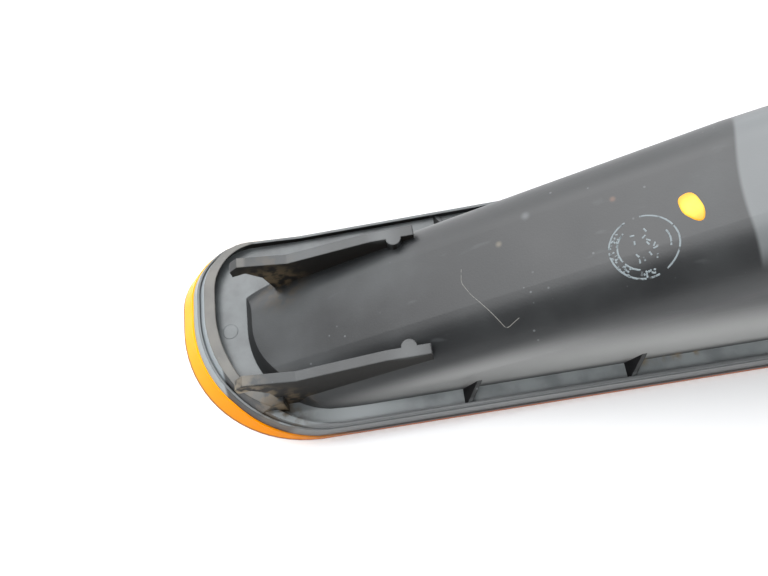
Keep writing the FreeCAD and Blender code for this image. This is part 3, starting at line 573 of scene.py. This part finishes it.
def height_at(x, y):
    """Height of the housing's top under each point, in metres.

    Each point is weighed against the three corners of every triangle in plan; where no weight
    is negative the triangle lies under the point, and the highest such triangle counts.
    """
    points = np.stack([x.ravel(), y.ravel()], axis=1)
    low, high = points.min(axis=0), points.max(axis=0)
    plan = HOUSING_TOP[:, :, :2]
    reach = (plan.max(axis=1) >= low).all(axis=1) & (plan.min(axis=1) <= high).all(axis=1)
    a, b, c = (HOUSING_TOP[reach][:, corner] for corner in range(3))
    area = (b[:, 0] - a[:, 0]) * (c[:, 1] - a[:, 1]) - (b[:, 1] - a[:, 1]) * (c[:, 0] - a[:, 0])
    from_a = points[:, None, :] - a[None, :, :2]
    to_b = (b - a)[None, :, :2]
    to_c = (c - a)[None, :, :2]
    share_b = (from_a[..., 0] * to_c[..., 1] - from_a[..., 1] * to_c[..., 0]) / area
    share_c = (to_b[..., 0] * from_a[..., 1] - to_b[..., 1] * from_a[..., 0]) / area
    inside = (share_b >= -EDGE_SLACK) & (share_c >= -EDGE_SLACK) & (share_b + share_c <= 1 + EDGE_SLACK)
    heights = a[None, :, 2] + share_b * (b - a)[None, :, 2] + share_c * (c - a)[None, :, 2]
    return np.where(inside, heights, -1.0).max(axis=1).reshape(x.shape)


def grid_faces(rows, columns, start=0):
    """Corner numbers of the squares of a grid of points, row by row."""
    index = start + np.arange(rows * columns).reshape(rows, columns)
    squares = [index[:-1, :-1], index[:-1, 1:], index[1:, 1:], index[1:, :-1]]
    return np.stack(squares, axis=-1).reshape(-1, 4)


def add_piece(name, points, faces, material):
    """A smooth mesh from arrays of points and faces, riding on the lamp."""
    mesh = bpy.data.meshes.new(name)
    mesh.from_pydata(points.reshape(-1, 3).tolist(), [], faces.tolist())
    mesh.shade_smooth()
    mesh.materials.append(material)
    piece = bpy.data.objects.new(name, mesh)
    bpy.context.scene.collection.objects.link(piece)
    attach(piece, "root")
    return piece


def lying_film(x, y, rise):
    """Points of a film on the housing: each plan point at the housing's height plus its own rise."""
    return np.stack([x, y, height_at(x, y) + rise], axis=-1)


def ribbon(x, y, width, rise):
    """A flat stroke along a plan curve, open below and at its two ends.

    Four lines follow the curve: the two edges below the surface and the two edges of the top,
    each set off along the curve's own normal by its own share of the width.
    """
    along = np.stack([np.gradient(x), np.gradient(y)], axis=-1)
    along /= np.linalg.norm(along, axis=-1, keepdims=True)
    side = np.stack([-along[:, 1], along[:, 0]], axis=-1)
    offsets = np.array((-STROKE_FOOT, -STROKE_TOP, STROKE_TOP, STROKE_FOOT)) * width
    rises = np.array((-SUNK * MM, rise, rise, -SUNK * MM))
    line_x = x[:, None] + side[:, :1] * offsets
    line_y = y[:, None] + side[:, 1:] * offsets
    return lying_film(line_x, line_y, rises)


def strokes(name, curves, width, material):
    """Several strokes joined in one piece."""
    points, faces, count = [], [], 0
    for x, y in curves:
        band = ribbon(x * MM, y * MM, width * MM, FILM * MM)
        rows, columns = band.shape[:2]
        points.append(band.reshape(-1, 3))
        faces.append(grid_faces(rows, columns, count))
        count += rows * columns
    return add_piece(name, np.concatenate(points), np.concatenate(faces)[:, ::-1], material)


def arc_curve(centre, radius, start, end):
    """Plan points on a circle between two angles in degrees."""
    angle = np.radians(np.linspace(start, end, max(6, int(abs(end - start) / 5))))
    return centre[0] + radius * np.cos(angle), centre[1] + radius * np.sin(angle)


def smooth_curve(corners, count=60):
    """Plan points through corners, evenly spaced, each then averaged with its neighbours."""
    corners = np.array(corners)
    runs = np.linalg.norm(np.diff(corners, axis=0), axis=1)
    at = np.concatenate([[0.0], np.cumsum(runs)])
    where = np.linspace(0.0, at[-1], count)
    weights = np.ones(SMOOTHING) / SMOOTHING
    lines = (np.pad(np.interp(where, at, line), SMOOTHING // 2, mode="edge") for line in corners.T)
    return tuple(np.convolve(line, weights, "valid") for line in lines)


def make_paint_dot():
    """Blob of yellow paint with the height of a flat dome over its own radius.

    Its outline is an ellipse whose radius grows and shrinks by three small cosine waves round it,
    and its rim is sunk into the housing.
    """
    rings = np.linspace(0.02, 1.0, DOT_RINGS)
    ring, turn = np.meshgrid(rings, np.linspace(0, 2 * np.pi, DOT_SPOKES), indexing="ij")
    edge = 1.0 + 0.1 * np.cos(2 * turn + 0.6) + 0.05 * np.cos(3 * turn) + 0.03 * np.cos(5 * turn + 1.0)
    long = DOT_LONG * ring * edge * np.cos(turn)
    short = DOT_SHORT * ring * edge * np.sin(turn)
    slant = math.radians(DOT_TURN)
    x = (DOT_CENTRE[0] + long * math.cos(slant) - short * math.sin(slant)) * MM
    y = (DOT_CENTRE[1] + long * math.sin(slant) + short * math.cos(slant)) * MM
    dome = DOT_THICK * np.sqrt(np.clip(1.0 - ring ** 6, 0.0, 1.0)) - SUNK * (ring >= 1.0)
    points = lying_film(x, y, dome * MM)
    material = dot_paint(points[0].mean(axis=0) / MM)
    return add_piece("paint_dot", points, grid_faces(*ring.shape), material)


def short_strokes(random, count, radii, angles, length):
    """Short straight strokes thrown at random over a ring sector of the stamp."""
    radius = STAMP_RADIUS * random.uniform(*radii, count)
    angle = np.radians(random.uniform(*angles, count))
    slant = random.uniform(0, np.pi, count)
    along = np.linspace(-0.5, 0.5, 4) * length
    x = STAMP_CENTRE[0] + (radius * np.cos(angle))[:, None] + np.cos(slant)[:, None] * along
    y = STAMP_CENTRE[1] + (radius * np.sin(angle))[:, None] + np.sin(slant)[:, None] * along
    return list(zip(x, y))


def make_stamp():
    """Worn inspection stamp: two broken rings, smudged on one side, with loose strokes inside."""
    random = np.random.default_rng(STAMP_SEED)
    curves = [arc_curve(STAMP_CENTRE, STAMP_RADIUS, *span) for span in STAMP_OUTER_ARCS]
    curves += [arc_curve(STAMP_CENTRE, STAMP_RADIUS * STAMP_INNER, *span) for span in STAMP_INNER_ARCS]
    smudge_radii = (STAMP_INNER, 1.0)
    curves += short_strokes(random, STAMP_SMUDGES, smudge_radii, STAMP_SMUDGE_SPAN, STAMP_TICK_LENGTH / 2)
    curves += short_strokes(random, STAMP_TICKS, STAMP_TICK_RADII, (0, 360), STAMP_TICK_LENGTH)
    material = paint("stamp_ink", INK_TONE, THIN_INK_TONE, 0.11)
    return strokes("inspection_stamp", curves, STAMP_STROKE, material)


def make_scratch():
    """Pale bent scratch across the back."""
    material = paint("scratched_plastic", SCRATCH_TONE, FAINT_SCRATCH_TONE, 0.12)
    return strokes("bent_scratch", [smooth_curve(SCRATCH_POINTS)], SCRATCH_WIDTH, material)


def make_floor():
    """Pale floor, a flat square under the lamp."""
    corner = FLOOR_HALF * MM
    x, y = np.meshgrid(np.linspace(-corner, corner, 3), np.linspace(-corner, corner, 3))
    points = np.stack([x, y, np.full_like(x, -FLOOR_DROP * MM)], axis=-1)
    mesh = bpy.data.meshes.new("floor")
    mesh.from_pydata(points.reshape(-1, 3).tolist(), [], grid_faces(3, 3).tolist())
    floor = bpy.data.objects.new("floor", mesh)
    finish = Finish("pale_floor", Roughness=0.7, Base_Color=(*FLOOR_COLOUR, 1.0))
    mesh.materials.append(finish.material)
    bpy.context.scene.collection.objects.link(floor)


def add_lamp(name, place, size, power):
    """A square soft lamp that faces the middle of the part."""
    light = bpy.data.lights.new(name, "AREA")
    light.size = size * MM
    light.energy = power
    lamp = bpy.data.objects.new(name, light)
    lamp.location = [value * MM for value in place]
    lamp.rotation_euler = (-lamp.location).to_track_quat("-Z", "Y").to_euler()
    bpy.context.scene.collection.objects.link(lamp)
    return lamp


def make_sky():
    """Soft sky: a dim level plus bright lobes, each a soft step of the cosine to its own direction."""
    world = bpy.data.worlds.new("studio_sky")
    world.use_nodes = True
    tree = world.node_tree
    sky = tree.nodes["Background"]
    sky.inputs["Color"].default_value = (*SKY_COLOUR, 1.0)
    direction = tree.nodes.new("ShaderNodeTexCoord").outputs["Generated"]
    total = None
    for middle, edge, core, strength in SKY_LOBES:
        dot = tree.nodes.new("ShaderNodeVectorMath")
        dot.operation = "DOT_PRODUCT"
        dot.inputs[1].default_value = middle
        tree.links.new(direction, dot.inputs[0])
        lobe = tree.nodes.new("ShaderNodeMapRange")
        lobe.interpolation_type = "SMOOTHSTEP"
        for index, value in enumerate((edge, core, 0.0, strength), start=1):
            lobe.inputs[index].default_value = value
        tree.links.new(dot.outputs["Value"], lobe.inputs[0])
        level = tree.nodes.new("ShaderNodeMath")
        level.inputs[1].default_value = SKY_DIM
        if total:
            tree.links.new(total, level.inputs[1])
        tree.links.new(lobe.outputs[0], level.inputs[0])
        total = level.outputs[0]
    tree.links.new(total, sky.inputs["Strength"])
    bpy.context.scene.world = world


def light_studio():
    """Sky, a large lamp behind the part and one in front that leaves no shine."""
    make_sky()
    add_lamp("key_lamp", KEY_PLACE, KEY_SIZE, KEY_POWER)
    fill = add_lamp("fill_lamp", FILL_PLACE, FILL_SIZE, FILL_POWER)
    fill.visible_glossy = False


def place_camera():
    """Camera at the viewing angle of the photograph."""
    tilt, roll, turn = np.radians((CAMERA_TILT, CAMERA_ROLL, CAMERA_TURN))
    view = np.array((-math.sin(turn) * math.sin(tilt), math.cos(turn) * math.sin(tilt), -math.cos(tilt)))
    level = np.array((math.cos(turn), math.sin(turn), 0.0))
    lift = np.cross(level, view)
    right = level * math.cos(roll) - lift * math.sin(roll)
    up = level * math.sin(roll) + lift * math.cos(roll)
    place = (np.array(CAMERA_AIM) - view * CAMERA_DISTANCE) * MM
    data = bpy.data.cameras.new("photo_camera")
    data.lens = CAMERA_LENS
    data.sensor_width = SENSOR_WIDTH
    data.sensor_fit = "HORIZONTAL"
    data.clip_start = MM
    camera = bpy.data.objects.new("photo_camera", data)
    pose = np.stack([right, up, -view, place], axis=1)
    camera.matrix_world = Matrix(np.vstack([pose, (0, 0, 0, 1)]).tolist())
    bpy.context.scene.collection.objects.link(camera)
    bpy.context.scene.camera = camera


def dress(material, *nodes):
    """One material on several nodes of the lamp."""
    for node in nodes:
        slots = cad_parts[node].data.materials
        slots.clear()
        slots.append(material)


def dress_lamp():
    """Finish of every piece of the lamp."""
    dress(housing_plastic(), "housing")
    dress(holder_plastic(), "bulb_holder")
    dress(amber_lens(), "lens")
    dress(rubbery("sealing_bead", (0.03, 0.03, 0.03), (0.06, 0.06, 0.06)), "lens_seal")
    dress(rubbery("seal_rubber", (0.02, 0.02, 0.02), (0.05, 0.05, 0.048)), "holder_seal")
    dress(metal("bright_reflector", (0.82, 0.82, 0.83), (0.9, 0.9, 0.91), 0.06, 0.005), "reflector")
    dress(metal("cap_brass", (0.62, 0.45, 0.2), (0.8, 0.62, 0.32), 0.25, 0.01), "bulb_cap")
    dress(metal("terminal_brass", (0.7, 0.56, 0.3), (0.82, 0.7, 0.42), 0.22, 0.01), "live_terminal",
          "earth_terminal")
    dress(metal("solder", (0.5, 0.5, 0.52), (0.66, 0.66, 0.68), 0.4, 0.04), "bulb_contact")
    dress(metal("tungsten", (0.28, 0.28, 0.29), (0.4, 0.4, 0.41), 0.45, 0.02), "filament",
          "filament_supports")
    dress(glassy("clear_glass", (0.97, 0.98, 0.98), 1.0), "bulb_glass", "bulb_stem")
    dress(glassy("black_glass", (0.03, 0.03, 0.045), 0.0), "bulb_insulator")


dress_lamp()
make_paint_dot()
make_stamp()
make_scratch()
make_floor()
light_studio()
place_camera()
bpy.context.scene.view_settings.view_transform = "Standard"
